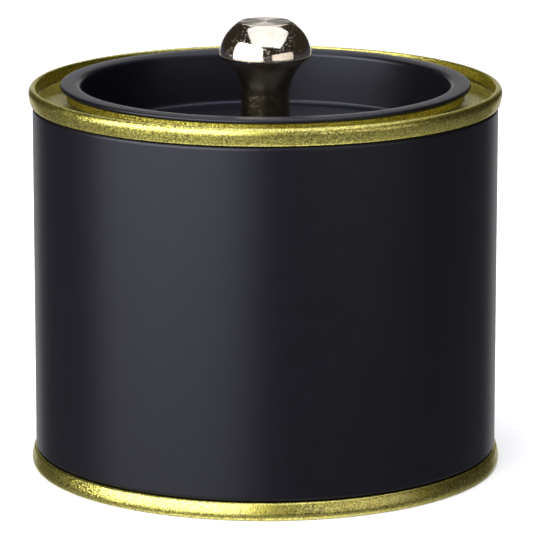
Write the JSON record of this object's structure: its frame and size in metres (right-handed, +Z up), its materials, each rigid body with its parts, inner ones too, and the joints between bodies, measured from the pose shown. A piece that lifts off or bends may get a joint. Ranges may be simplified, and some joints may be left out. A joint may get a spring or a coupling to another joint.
{
  "type": "candle tin",
  "caption": "Round tinplate candle tin with rolled double seams, a sunken plug lid and a mushroom knob screwed to the lid.",
  "frame": {"origin": "centre of the circle that the base seam stands on", "axes": "+Z up along the tin's axis, through the knob; +Y towards the welded side seam at the back"},
  "size_m": [0.0848, 0.0848, 0.0805],
  "materials": {
    "black_coating": "satin black coating on tinplate",
    "gold_lacquer": "glossy olive gold lacquer on tinplate, finely flecked",
    "sealing_compound": "matte seam compound",
    "polished_metal": "polished dark champagne plating",
    "zinc_plate": "bright zinc plate"
  },
  "bodies": {
    "tin": {"body_shell": "black_coating", "top_ring": "gold_lacquer", "base_end": "gold_lacquer", "top_seam_compound": "sealing_compound", "base_seam_compound": "sealing_compound"},
    "lid": {"lid_pan": "black_coating", "knob": "polished_metal", "knob_washer": "zinc_plate", "knob_screw": "zinc_plate"}
  },
  "joints": [
    {"name": "lid_lift", "type": "slide", "parent": "tin", "child": "lid", "axis": [0, 0, 1], "range_m": [0, 0.04]}
  ]
}
